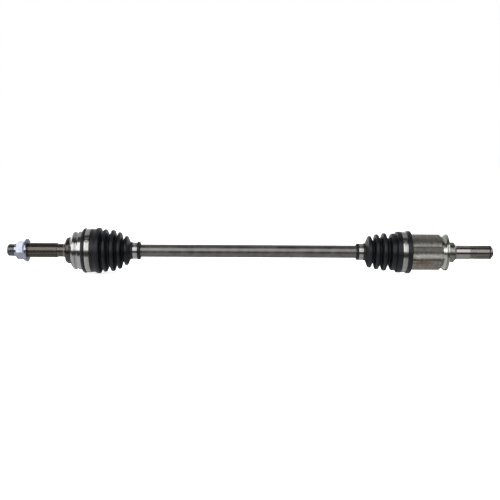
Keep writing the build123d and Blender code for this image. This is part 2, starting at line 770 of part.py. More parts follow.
inner_cuff = cuff(inner_band_x, inner_band_width, inner_band_seat, inner_open_lip, inner_fold_lip, -1)
inner_small_cuff = cuff(
    inner_small_band_x, small_band_width, small_band_seat, inner_small_fold_lip, inner_small_open_lip, -1
)
crests, roots = bellows(
    inner_cuff, inner_small_cuff, inner_band_seat, small_band_seat, inner_boot_crests, inner_boot_fold
)
save(boot(inner_cuff, crests, roots, inner_small_cuff, inner_cuff_r, small_cuff_r), "inner_boot")

# ------------------------------------------------------------------ boot clamps
for name, start, width, seat_r in (
    ("outer_boot_large_clamp", outer_band_x, outer_band_width, outer_band_seat),
    ("outer_boot_small_clamp", outer_small_band_x, small_band_width, small_band_seat),
    ("inner_boot_large_clamp", inner_band_x, inner_band_width, inner_band_seat),
    ("inner_boot_small_clamp", inner_small_band_x, small_band_width, small_band_seat),
):
    save(band_clamp(start, width, seat_r), name)
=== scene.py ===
import logging
import math
from dataclasses import dataclass
from enum import Enum

import bpy
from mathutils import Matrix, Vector


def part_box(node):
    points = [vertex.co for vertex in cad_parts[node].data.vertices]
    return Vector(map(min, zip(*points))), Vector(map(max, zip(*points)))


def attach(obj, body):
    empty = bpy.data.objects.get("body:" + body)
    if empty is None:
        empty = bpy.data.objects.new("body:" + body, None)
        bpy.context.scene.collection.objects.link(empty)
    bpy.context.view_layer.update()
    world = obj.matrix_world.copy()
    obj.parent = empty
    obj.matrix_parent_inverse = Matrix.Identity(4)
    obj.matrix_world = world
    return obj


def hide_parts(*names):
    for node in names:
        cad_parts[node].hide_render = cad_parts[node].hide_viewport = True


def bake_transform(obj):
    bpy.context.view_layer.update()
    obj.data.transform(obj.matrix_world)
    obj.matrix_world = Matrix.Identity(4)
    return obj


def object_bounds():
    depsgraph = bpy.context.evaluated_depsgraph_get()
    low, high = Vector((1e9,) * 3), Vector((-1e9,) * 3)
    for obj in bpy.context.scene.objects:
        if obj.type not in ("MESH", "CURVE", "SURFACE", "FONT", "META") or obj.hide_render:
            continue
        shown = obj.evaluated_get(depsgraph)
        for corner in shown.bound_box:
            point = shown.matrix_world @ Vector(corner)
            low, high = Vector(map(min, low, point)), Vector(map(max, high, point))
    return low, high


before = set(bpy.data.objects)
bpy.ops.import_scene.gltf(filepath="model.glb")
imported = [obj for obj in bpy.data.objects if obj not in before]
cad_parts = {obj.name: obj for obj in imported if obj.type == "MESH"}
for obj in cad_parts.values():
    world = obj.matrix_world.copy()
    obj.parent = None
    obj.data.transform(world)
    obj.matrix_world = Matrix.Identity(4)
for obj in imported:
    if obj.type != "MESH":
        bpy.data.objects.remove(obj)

LOG = logging.getLogger("cv_axle")
CAD_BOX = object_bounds()
MM = 0.001
ONE_POINT = 1e-7  # metres; two points of an outline nearer than this are one
ONE_VERTEX = 1e-6  # the same, after a turn
NOISE_LOW, NOISE_HIGH = 0.3, 0.7  # most of a noise texture lies between these
SUM_LOW, SUM_HIGH = 0.7, 1.3  # and most of the sum of two between these
Tree = bpy.types.NodeTree
Socket = bpy.types.NodeSocket
Point = tuple[float, float]
Colour = tuple[float, float, float, float]


# ---------------------------------------------------------------- shared tools
def linear(code: str) -> Colour:
    """Turns an sRGB hex colour into the linear values that a shader takes.

    Args:
        code: six hex digits, such as "8a8c90".

    Returns:
        Linear red, green and blue, and an alpha of 1.
    """
    channels = [int(code[i:i + 2], 16) / 255 for i in (0, 2, 4)]
    lit = [c / 12.92 if c <= 0.04045 else ((c + 0.055) / 1.055) ** 2.4 for c in channels]
    return (*lit, 1.0)


def add_node(tree: Tree, kind: str, inputs: dict | None = None,
             stops: list | None = None, **settings) -> bpy.types.Node:
    """Adds one shader node with its settings, links and colour stops.

    Args:
        tree: the node tree.
        kind: the node's type, such as "ShaderNodeBump".
        inputs: values or sockets for its inputs, by name or number.
        stops: (position, colour) pairs, for a colour ramp.
        settings: properties of the node.

    Returns:
        The node.
    """
    node = tree.nodes.new(kind)
    for name, value in settings.items():
        setattr(node, name, value)
    for key, value in (inputs or {}).items():
        if isinstance(value, Socket):
            tree.links.new(value, node.inputs[key])
        else:
            node.inputs[key].default_value = value
    if stops:
        ramp = node.color_ramp.elements
        while len(ramp) < len(stops):
            ramp.new(1.0)
        for element, (position, colour) in zip(ramp, stops):
            element.position, element.color = position, colour
    return node


def rounded(corners: list[tuple[float, float, float]], steps: int = 7) -> list[Point]:
    """Rounds the corners of an open outline with arcs.

    Args:
        corners: (x, radius from the axis, corner radius), all in metres.
        steps: points on each arc.

    Returns:
        The outline's (x, radius) points.
    """
    straight = math.radians(89)  # half of an angle too flat to round
    line = [corners[0][:2]]
    for before, corner, after in zip(corners, corners[1:], corners[2:]):
        here = Vector(corner[:2])
        back, on = Vector(before[:2]) - here, Vector(after[:2]) - here
        half = back.angle(on) / 2
        if corner[2] <= 0 or half > straight:
            line.append(tuple(here))
            continue
        reach = min(corner[2] / math.tan(half), 0.49 * back.length, 0.49 * on.length)
        first, last = here + back.normalized() * reach, here + on.normalized() * reach
        centre = here + (back.normalized() + on.normalized()).normalized() * (reach / math.cos(half))
        start = math.atan2(first.y - centre.y, first.x - centre.x)
        sweep = math.atan2(last.y - centre.y, last.x - centre.x) - start
        sweep = (sweep + math.pi) % (2 * math.pi) - math.pi
        radius = reach * math.tan(half)
        for i in range(steps):
            turn = start + sweep * i / (steps - 1)
            line.append((centre.x + radius * math.cos(turn), centre.y + radius * math.sin(turn)))
    line.append(corners[-1][:2])
    return line


def turned(name: str, outline: list[Point], steps: int = 128, start: float = 90.0,
           arc: float = 360.0) -> bpy.types.Object:
    """Turns an outline about the axle's axis, as on a lathe.

    Args:
        name: the piece's name.
        outline: (x, radius) points. It closes on itself if its last point is its first.
        steps: steps round the arc.
        start: where the arc starts, in degrees about +X from +Y.
        arc: degrees of turn. Less than a full turn leaves two ends, which are filled.

    Returns:
        The mesh object, at the origin, with its normals outwards.
    """
    out = Vector((0, math.cos(math.radians(start)), math.sin(math.radians(start))))
    places = [Vector((x, 0, 0)) + out * r for x, r in outline]
    bpy.ops.object.select_all(action="DESELECT")
    bpy.ops.mesh.primitive_plane_add(size=MM, location=places[0])
    piece = bpy.context.object
    piece.name = piece.data.name = name
    bpy.ops.object.transform_apply(location=True)
    bpy.ops.object.mode_set(mode="EDIT")
    bpy.ops.mesh.select_all(action="SELECT")
    bpy.ops.mesh.merge(type="CENTER")
    for here, there in zip(places, places[1:]):
        bpy.ops.mesh.extrude_region_move(TRANSFORM_OT_translate={"value": there - here})
    bpy.ops.mesh.select_all(action="SELECT")
    bpy.ops.mesh.remove_doubles(threshold=ONE_POINT)
    bpy.ops.mesh.spin(steps=steps, angle=math.radians(arc), center=(0, 0, 0), axis=(1, 0, 0))
    bpy.ops.mesh.select_all(action="SELECT")
    bpy.ops.mesh.remove_doubles(threshold=ONE_VERTEX)
    if arc < 360:
        bpy.ops.mesh.select_all(action="DESELECT")
        bpy.ops.mesh.select_non_manifold()
        bpy.ops.mesh.edge_face_add()
        bpy.ops.mesh.select_all(action="SELECT")
    bpy.ops.mesh.normals_make_consistent(inside=False)
    bpy.ops.object.mode_set(mode="OBJECT")
    return piece


def smooth(piece: bpy.types.Object, angle: float = 35.0) -> None:
    """Shades a piece smooth, apart from edges sharper than the angle in degrees."""
    bpy.ops.object.select_all(action="DESELECT")
    piece.select_set(True)
    bpy.context.view_layer.objects.active = piece
    bpy.ops.object.shade_smooth_by_angle(angle=math.radians(angle))


def dress(piece: bpy.types.Object, material: bpy.types.Material) -> None:
    """Gives a new piece its one material."""
    piece.data.materials.clear()
    piece.data.materials.append(material)


def dress_nodes(material: bpy.types.Material, *names: str) -> None:
    """Gives CAD nodes a material in all their slots."""
    for name in names:
        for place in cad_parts[name].material_slots:
            place.material = material


# ---------------------------------------------------------------- finishes
@dataclass(frozen=True)
class Zone:
    """A stretch of a shaft along X with its own finish, from where it starts, in metres."""

    start: float
    colour: str
    roughness: float


@dataclass(frozen=True)
class Finish:
    """A material with a name and the tree that its subclasses fill."""

    name: str

    def tree(self) -> tuple[bpy.types.Material, Tree, Socket, bpy.types.Node]:
        """Makes an empty material with a Principled shader.

        Returns:
            The material, its node tree, the Object coordinates and the shader.
        """
        material = bpy.data.materials.new(self.name)
        material.use_nodes = True
        tree = material.node_tree
        tree.nodes.clear()
        place = add_node(tree, "ShaderNodeTexCoord").outputs["Object"]
        shader = add_node(tree, "ShaderNodeBsdfPrincipled")
        add_node(tree, "ShaderNodeOutputMaterial", {"Surface": shader.outputs[0]})
        return material, tree, place, shader

    def noise(self, tree: Tree, place: Socket, size: float, detail: float,
              **inputs) -> Socket:
        """Adds a noise in three dimensions.

        Args:
            tree: the node tree.
            place: coordinates.
            size: about how large its lumps are, in metres.
            detail: how many finer layers it has.
            inputs: its other inputs.

        Returns:
            Its value, from 0 to 1.
        """
        settings = {"Vector": place, "Scale": 1 / size, "Detail": detail, **inputs}
        return add_node(tree, "ShaderNodeTexNoise", settings).outputs["Fac"]

    def lines(self, tree: Tree, along: Socket, pitch: float) -> Socket:
        """Adds a noise that changes along one direction only, so that it draws lines across it.

        Args:
            tree: the node tree.
            along: the coordinate in that direction.
            pitch: about how far apart the lines are, in metres.

        Returns:
            Its value, from 0 to 1.
        """
        inputs = {"W": along, "Scale": 1 / pitch, "Detail": 3.0}
        return add_node(tree, "ShaderNodeTexNoise", inputs, noise_dimensions="1D").outputs["Fac"]

    def spread(self, tree: Tree, source: Socket, low: float,
               high: float) -> Socket:
        """Spreads the part of a noise where most of it lies over a range.

        Args:
            tree: the node tree.
            source: the noise.
            low: what its low values become.
            high: what its high values become.

        Returns:
            The new value.
        """
        inputs = {"Value": source, "From Min": NOISE_LOW, "From Max": NOISE_HIGH,
                  "To Min": low, "To Max": high}
        return add_node(tree, "ShaderNodeMapRange", inputs).outputs[0]

    def relief(self, tree: Tree, height: Socket, depth: float,
               strength: float = 1.0) -> Socket:
        """Turns a noise into relief.

        Args:
            tree: the node tree.
            height: the noise.
            depth: how deep the relief is, in metres.
            strength: how much of it shows, from 0 to 1.

        Returns:
            The normal.
        """
        inputs = {"Height": height, "Distance": depth, "Strength": strength}
        return add_node(tree, "ShaderNodeBump", inputs).outputs[0]

    def connect(self, tree: Tree, shader: bpy.types.Node, **sockets) -> None:
        """Links sockets to the shader's inputs. Names are in lower case, as in base_color."""
        for name, socket in sockets.items():
            tree.links.new(socket, shader.inputs[name.replace("_", " ").title()])


@dataclass(frozen=True)
class TurnedSteel(Finish):
    """Forged steel that is turned, rolled or ground in zones along X.

    A lathe leaves fine rings, so the sheen breaks up along the axle; forged skin is mottled and dull.
    """

    zones: tuple[Zone, ...]
    ring_pitch: float = 0.45 * MM  # drawn coarser than a real 0.1 mm feed, so that it shows
    mottle_size: float = 6.0 * MM
    mottle: float = 0.25
    ring_depth: float = 0.004 * MM
    stain: tuple[Vector, ...] = ()
    stain_size: float = 9.0 * MM
    stain_colour: str = "86683a"
    stain_cover: float = 0.65
    last_zone: float = 80 * MM  # length given to the last zone
    zone_fade: float = 0.4 * MM  # length over which one zone turns into the next
    ground: float = 0.18  # roughness at which the mottle is gone
    forged: float = 0.34  # roughness at which it is whole

    def build(self) -> bpy.types.Material:
        """Builds the material.

        Returns:
            The material.
        """
        material, tree, place, shader = self.tree()
        first, last = self.zones[0].start, self.zones[-1].start + self.last_zone
        x = add_node(tree, "ShaderNodeSeparateXYZ", {0: place}).outputs["X"]
        along = add_node(tree, "ShaderNodeMapRange", {"Value": x, "From Min": first, "From Max": last})
        colours, glosses = self.stops(first, last)
        zone = add_node(tree, "ShaderNodeValToRGB", {0: along.outputs[0]}, stops=colours)
        gloss = add_node(tree, "ShaderNodeValToRGB", {0: along.outputs[0]}, stops=glosses)
        cloud = self.noise(tree, place, self.mottle_size, 5.0, Roughness=0.6)
        shade = self.spread(tree, cloud, 1 - self.mottle, 1 + self.mottle)
        skin = add_node(tree, "ShaderNodeMapRange",
                        {"Value": gloss.outputs[0], "From Min": self.ground, "From Max": self.forged})
        veil = add_node(tree, "ShaderNodeMix", {0: skin.outputs[0], 2: 1.0, 3: shade}, data_type="FLOAT")
        tone = add_node(tree, "ShaderNodeVectorMath", {0: zone.outputs[0], 1: veil.outputs[0]},
                        operation="MULTIPLY")
        colour = tone.outputs[0]
        for number, spot in enumerate(self.stain):
            colour = self.rust(tree, place, colour, spot, 1.0 + 0.35 * number)
        rings = self.lines(tree, x, self.ring_pitch)
        drift = add_node(tree, "ShaderNodeMath", {0: rings, 1: cloud}, operation="ADD")
        uneven = add_node(tree, "ShaderNodeMapRange",
                          {"Value": drift.outputs[0], "From Min": SUM_LOW, "From Max": SUM_HIGH,
                           "To Min": 0.8, "To Max": 1.25})
        rough = add_node(tree, "ShaderNodeMath", {0: gloss.outputs[0], 1: uneven.outputs[0]},
                         operation="MULTIPLY", use_clamp=True)
        shader.inputs["Metallic"].default_value = 1.0
        self.connect(tree, shader, base_color=colour, roughness=rough.outputs[0],
                     normal=self.relief(tree, rings, self.ring_depth))
        return material

    def stops(self, first: float, last: float) -> tuple[list, list]:
        """Works out the colour and roughness stops of the zones.

        Args:
            first: X of the first zone's start.
            last: X where the last stop may lie.

        Returns:
            The colour stops and the roughness stops.
        """
        colours, glosses = [], []
        fade = self.zone_fade / (last - first)
        for number, zone in enumerate(self.zones):
            grey = (zone.roughness,) * 3 + (1.0,)
            at = (zone.start - first) / (last - first)
            end = 1.0
            if number + 1 < len(self.zones):
                end = (self.zones[number + 1].start - first) / (last - first) - fade
            for position in (at, end):
                colours.append((position, linear(zone.colour)))
                glosses.append((position, grey))
        return colours, glosses

    def rust(self, tree: Tree, place: Socket, colour: Socket,
             spot: Vector, size: float) -> Socket:
        """Lays one thin brown rust stain over a colour.

        Args:
            tree: the node tree.
            place: Object coordinates.
            colour: the colour below.
            spot: the stain's middle.
            size: its size against the usual one.

        Returns:
            The stained colour.
        """
        flat = Vector((0.55, 1.0, 2.4))  # long along the axle and thin across it
        near = add_node(tree, "ShaderNodeVectorMath", {0: place, 1: flat}, operation="MULTIPLY")
        away = add_node(tree, "ShaderNodeVectorMath", {0: near.outputs[0], 1: spot * flat},
                        operation="DISTANCE")
        ragged = self.noise(tree, place, self.stain_size / 2.2, 6.0)
        edge = add_node(tree, "ShaderNodeMath",
                        {0: ragged, 1: self.stain_size * 1.6, 2: away.outputs["Value"]},
                        operation="MULTIPLY_ADD")
        cover = add_node(tree, "ShaderNodeMapRange",
                         {"Value": edge.outputs[0], "From Min": self.stain_size * (0.8 + size),
                          "From Max": self.stain_size * (0.3 + size * 0.7),
                          "To Min": 0.0, "To Max": self.stain_cover},
                         interpolation_type="SMOOTHSTEP")
        layers = {0: cover.outputs[0], 6: colour, 7: linear(self.stain_colour)}
        mixed = add_node(tree, "ShaderNodeMix", layers, data_type="RGBA")
        return mixed.outputs[2]


@dataclass(frozen=True)
class DrawnBar(Finish):
    """Cold-drawn and hardened bar steel: long faint lines along its length and a dull, uneven grey."""

    colour: str = "8b8986"
    dark: str = "6e6d6b"
    line_size: float = 0.8 * MM
    stretch: float = 0.02
    cloud_size: float = 14 * MM
    line_depth: float = 0.006 * MM
    roughness: float = 0.36

    def build(self) -> bpy.types.Material:
        """Builds the material.

        Returns:
            The material.
        """
        material, tree, place, shader = self.tree()
        pulled = add_node(tree, "ShaderNodeMapping", {"Vector": place, "Scale": (self.stretch, 1, 1)})
        lines = self.noise(tree, pulled.outputs[0], self.line_size, 4.0, Roughness=0.65)
        cloud = self.noise(tree, place, self.cloud_size, 5.0)
        blend = add_node(tree, "ShaderNodeMath", {0: lines, 1: cloud}, operation="MULTIPLY")
        tone = add_node(tree, "ShaderNodeValToRGB", {0: blend.outputs[0]},
                        stops=[(0.15, linear(self.dark)), (0.35, linear(self.colour))])
        shader.inputs["Metallic"].default_value = 1.0
        self.connect(tree, shader, base_color=tone.outputs[0],
                     roughness=self.spread(tree, cloud, self.roughness * 0.85, self.roughness * 1.2),
                     normal=self.relief(tree, lines, self.line_depth))
        return material


@dataclass(frozen=True)
class MouldedRubber(Finish):
    """Injection-moulded chloroprene rubber: near black, with a soft bluish sheen and a fine grain."""

    colour: str = "07080b"
    dusty: str = "0f1116"
    cloud_size: float = 18 * MM
    grain: float = 0.5 * MM  # drawn coarser than a real mould's 0.1 mm spark texture, so that it shows
    grain_depth: float = 0.02 * MM
    roughness: float = 0.38
    gloss: float = 0.36  # under the usual 0.5: the rubber's bloom dulls it

    def build(self) -> bpy.types.Material:
        """Builds the material.

        Returns:
            The material.
        """
        material, tree, place, shader = self.tree()
        cloud = self.noise(tree, place, self.cloud_size, 6.0)
        tone = add_node(tree, "ShaderNodeValToRGB", {0: cloud},
                        stops=[(0.4, linear(self.colour)), (0.75, linear(self.dusty))])
        grain = self.noise(tree, place, self.grain, 2.0)
        shader.inputs["Specular IOR Level"].default_value = self.gloss
        self.connect(tree, shader, base_color=tone.outputs[0],
                     roughness=self.spread(tree, cloud, self.roughness * 0.85, self.roughness * 1.2),
                     normal=self.relief(tree, grain, self.grain_depth, 0.6))
        return material


@dataclass(frozen=True)
class ZincPlate(Finish):
    """Electroplated zinc on steel: pale, softly mirrored, with a faint cloudiness from the passivation."""

    colour: str
    cloud_colour: str
    roughness: float
    cloud_size: float = 5 * MM
    pit_size: float = 0.7 * MM
    pit_depth: float = 0.006 * MM

    def build(self) -> bpy.types.Material:
        """Builds the material.

        Returns:
            The material.
        """
        material, tree, place, shader = self.tree()
        cloud = self.noise(tree, place, self.cloud_size, 6.0, Roughness=0.6)
        tone = add_node(tree, "ShaderNodeValToRGB", {0: cloud},
                        stops=[(0.35, linear(self.cloud_colour)), (0.65, linear(self.colour))])
        pits = self.noise(tree, place, self.pit_size, 2.0)
        shader.inputs["Metallic"].default_value = 1.0
        self.connect(tree, shader, base_color=tone.outputs[0],
                     roughness=self.spread(tree, cloud, self.roughness * 1.3, self.roughness * 0.8),
                     normal=self.relief(tree, pits, self.pit_depth, 0.7))
        return material


@dataclass(frozen=True)
class RolledStrip(Finish):
    """Rolled stainless strip, or a plain spring or bearing steel: fine scratches round the axle."""

    colour: str
    roughness: float
    scratch: float = 0.35 * MM
    scratch_depth: float = 0.004 * MM
    cloud_size: float = 6 * MM

    def build(self) -> bpy.types.Material:
        """Builds the material.

        Returns:
            The material.
        """
        material, tree, place, shader = self.tree()
        x = add_node(tree, "ShaderNodeSeparateXYZ", {0: place}).outputs["X"]
        lines = self.lines(tree, x, self.scratch)
        cloud = self.noise(tree, place, self.cloud_size, 4.0)
        pale = Vector(linear(self.colour)[:3])
        tone = add_node(tree, "ShaderNodeValToRGB", {0: cloud},
                        stops=[(0.35, (*(pale * 0.8), 1.0)), (0.6, (*pale, 1.0))])
        shader.inputs["Metallic"].default_value = 1.0
        self.connect(tree, shader, base_color=tone.outputs[0],
                     roughness=self.spread(tree, lines, self.roughness * 0.75, self.roughness * 1.35),
                     normal=self.relief(tree, lines, self.scratch_depth))
        return material


@dataclass(frozen=True)
class MouldedPlastic(Finish):
    """Injection-moulded black thermoplastic with a fine satin texture."""

    colour: str = "1b1b1c"
    grain: float = 0.6 * MM
    grain_depth: float = 0.02 * MM
    roughness: float = 0.5

    def build(self) -> bpy.types.Material:
        """Builds the material.

        Returns:
            The material.
        """
        material, tree, place, shader = self.tree()
        grain = self.noise(tree, place, self.grain, 3.0)
        rough = add_node(tree, "ShaderNodeMapRange",
                         {"Value": grain, "To Min": self.roughness * 0.8, "To Max": self.roughness * 1.2})
        shader.inputs["Base Color"].default_value = linear(self.colour)
        self.connect(tree, shader, roughness=rough.outputs[0],
                     normal=self.relief(tree, grain, self.grain_depth, 0.6))
        return material


# ---------------------------------------------------------------- boots
@dataclass
class Boot:
    """A rubber boot: a turned skin with rounded folds, thickened inwards."""

    name: str
    material: bpy.types.Material
    wall: float = 2.0 * MM
    steps: int = 144

    def placed(self, start: float, corners: tuple) -> list[tuple[float, float, float]]:
        """Puts corners in millimetres where the boot starts, in metres."""
        return [(start + x * MM, r * MM, fillet * MM) for x, r, fillet in corners]

    def skin(self, part: str, outline: list[Point]) -> bpy.types.Object:
        """Turns an outline, thickens it inwards and dresses it.

        Args:
            part: the piece's name.
            outline: the outer (x, radius) line, in the order that leaves its normals outwards.

        Returns:
            The finished piece.
        """
        piece = turned(part, outline, self.steps)
        thick = piece.modifiers.new("wall", "SOLIDIFY")
        thick.thickness, thick.offset, thick.use_even_offset = self.wall, -1.0, False
        bpy.ops.object.modifier_apply(modifier=thick.name)
        smooth(piece)
        dress(piece, self.material)
        return piece


@dataclass
class OuterBoot(Boot):
    """The wheel-end boot: five folds that shrink from the bell to the bar."""

    # (distance from its wheel end, radius, rounding), in millimetres; each crest has two corners
    cuff: tuple = (
        (0.0, 34.95, 0.0), (0.0, 38.2, 1.2), (3.2, 40.4, 1.6), (6.0, 40.4, 0.5), (6.4, 38.65, 0.3),
        (15.7, 38.65, 0.3), (16.1, 39.0, 0.3), (21.6, 38.9, 1.0),
    )
    folds: tuple = (
        (26.8, 41.4, 3.2), (31.6, 41.4, 3.0), (34.5, 28.6, 1.0),
        (37.3, 38.5, 2.9), (42.3, 38.5, 2.9), (47.0, 27.4, 1.3),
        (51.4, 37.3, 2.9), (56.6, 37.3, 2.9), (60.2, 23.8, 1.2),
        (63.5, 33.5, 2.8), (68.2, 33.5, 2.8), (71.8, 17.6, 1.2),
        (75.3, 26.5, 2.6), (79.9, 26.5, 2.6), (84.9, 16.2, 1.5),
    )
    tail: tuple = (
        (89.0, 15.3, 1.0), (89.4, 14.3, 0.2), (97.8, 14.3, 0.2), (98.1, 16.3, 0.6), (102.2, 16.3, 0.9),
        (103.0, 14.2, 0.3), (103.0, 11.6, 0.0),
    )

    def build(self) -> bpy.types.Object:
        """Builds the boot.

        Returns:
            The piece.
        """
        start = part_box("outer_boot")[0][0]
        corners = self.placed(start, (*self.cuff, *self.folds, *self.tail))
        piece = self.skin(self.name, rounded(corners))
        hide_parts("outer_boot")
        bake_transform(piece)
        return piece


@dataclass
class InnerBoot(Boot):
    """The gearbox-end boot: three folds and a round hump, in two lengths that meet on the third crest."""

    # (distance from its wheel end, radius, rounding), in millimetres; each crest has two corners
    tail: tuple = (
        (0.0, 11.6, 0.0), (0.0, 14.3, 0.4), (0.8, 15.1, 0.6), (4.2, 15.1, 0.4), (4.6, 14.3, 0.2),
        (12.7, 14.3, 0.2), (13.0, 15.4, 0.4), (16.2, 16.2, 0.8),
    )
    folds: tuple = (
        (21.4, 28.9, 3.0), (26.6, 28.9, 3.0), (30.3, 17.8, 1.2),
        (33.9, 32.1, 3.1), (39.2, 32.1, 3.1), (43.3, 23.2, 1.2),
    )
    cup_folds: tuple = (
        (47.4, 34.3, 3.1), (52.8, 34.3, 3.1), (57.8, 22.4, 1.6),
        (62.6, 33.5, 3.4), (69.6, 33.7, 0.8), (70.6, 32.4, 0.5),
    )
    cuff: tuple = (
        (72.2, 37.1, 0.8), (79.6, 37.1, 0.5), (80.0, 35.85, 0.3), (89.3, 35.85, 0.3), (89.9, 38.35, 0.9),
        (96.2, 38.35, 1.2), (97.8, 36.2, 0.6), (97.8, 34.15, 0.0),
    )

    def build(self) -> list[bpy.types.Object]:
        """Builds the two lengths of the boot, split on the third crest.

        Returns:
            The two pieces.
        """
        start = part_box("inner_boot")[0][0]
        corners = self.placed(start, (*self.tail, *self.folds, *self.cup_folds, *self.cuff))
        whole = rounded(corners)
        crest = start + (self.cup_folds[0][0] + self.cup_folds[1][0]) / 2 * MM
        split = min(range(len(whole)), key=lambda i: abs(whole[i][0] - crest))
        bar_side = self.skin(f"{self.name}_bar_side", whole[:split + 1])
        cup_side = self.skin(f"{self.name}_cup_side", whole[split:])
        for piece in (bar_side, cup_side):
            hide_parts("inner_boot")
        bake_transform(bar_side)
        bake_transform(cup_side)
        return [bar_side, cup_side]


# ---------------------------------------------------------------- clamps
@dataclass
class BandClamp:
    """A low-profile steel band: one strip round the cuff, its end lapped over and held by hooks."""

    node: str
    body: str
    material: bpy.types.Material
    lock: float = 147.0  # degrees about +X from +Y to the lock
    strip: float = 0.45 * MM
    lap: float = 250.0  # degrees of the outer layer
    lap_overrun: float = 8.0  # degrees that it runs past the lock
    # each hook, as (degrees from the lock, millimetres round the band), on a band of the usual radius
    hooks: tuple = ((-6.5, 2.2), (0.0, 3.0), (6.5, 2.2))
    usual_radius: float = 36 * MM
    hook_height: float = 1.1 * MM
    hook_share: float = 0.52  # of the band's width
    hook_round: float = 0.28 * MM

    def build(self) -> bpy.types.Object:
        """Builds the band with its lapped end and hooks as one piece.

        Returns:
            The piece.
        """
        low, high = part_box(self.node)
        ends = (low[0], high[0])
        width = ends[1] - ends[0]
        top = high[1]  # the band's outside: its lock is off to one side, so +Y is plain band
        base = top - 2 * self.strip
        band = self.layer(self.node + "_band", ends, base, 360.0, 90.0)
        over = self.layer("lap", ends, base + self.strip, self.lap, self.lock - self.lap_overrun)
        parts = [band, over]
        tighter = self.usual_radius / top
        for turn, length in self.hooks:
            shorter = 0.6 + 0.4 / tighter
            parts.append(self.hook(width, top, self.lock + turn * tighter, length * MM * shorter))
        bpy.ops.object.select_all(action="DESELECT")
        for part in parts:
            part.select_set(True)
        bpy.context.view_layer.objects.active = band
        bpy.ops.object.join()
        smooth(band, 40.0)
        dress(band, self.material)
        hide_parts(self.node)
        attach(band, self.body)
        return band

    def layer(self, name: str, ends: Point, radius: float, arc: float, start: float) -> bpy.types.Object:
        """Turns one layer of strip with rounded edges.

        Args:
            name: the layer's name.
            ends: X of its two edges.
            radius: its inner radius.
            arc: degrees of turn.
            start: where it starts.

        Returns:
            The layer.
        """
        low, high = ends
        top = radius + self.strip
        corner = self.strip * 0.4
        middle = (low + high) / 2
        closed = [
            (middle, radius, 0.0), (low, radius, corner / 2), (low, top, corner),
            (high, top, corner), (high, radius, corner / 2), (middle, radius, 0.0),
        ]
        return turned(name, rounded(closed, 4), 160 if arc == 360 else 120, start, arc)

    def hook(self, width: float, radius: float, turn: float, length: float) -> bpy.types.Object:
        """Makes one pressed hook across the band.

        Args:
            width: the band's width.
            radius: the band's outer radius.
            turn: its place, in degrees about +X from +Y.
            length: its length round the band.

        Returns:
            The hook.
        """
        low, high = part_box(self.node)
        middle = (low[0] + high[0]) / 2
        bpy.ops.object.select_all(action="DESELECT")
        bpy.ops.mesh.primitive_cube_add(size=1, location=(middle, radius, 0))
        piece = bpy.context.object
        piece.scale = (width * self.hook_share, self.hook_height, length)
        bpy.ops.object.transform_apply(location=True, scale=True)
        bpy.ops.object.mode_set(mode="EDIT")
        bpy.ops.mesh.select_all(action="SELECT")
        bpy.ops.mesh.bevel(offset=self.hook_round, segments=3, affect="EDGES")
        bpy.ops.mesh.select_all(action="SELECT")
        bpy.ops.transform.rotate(value=-math.radians(turn), orient_axis="X", center_override=(0, 0, 0))
        bpy.ops.object.mode_set(mode="OBJECT")
        return piece


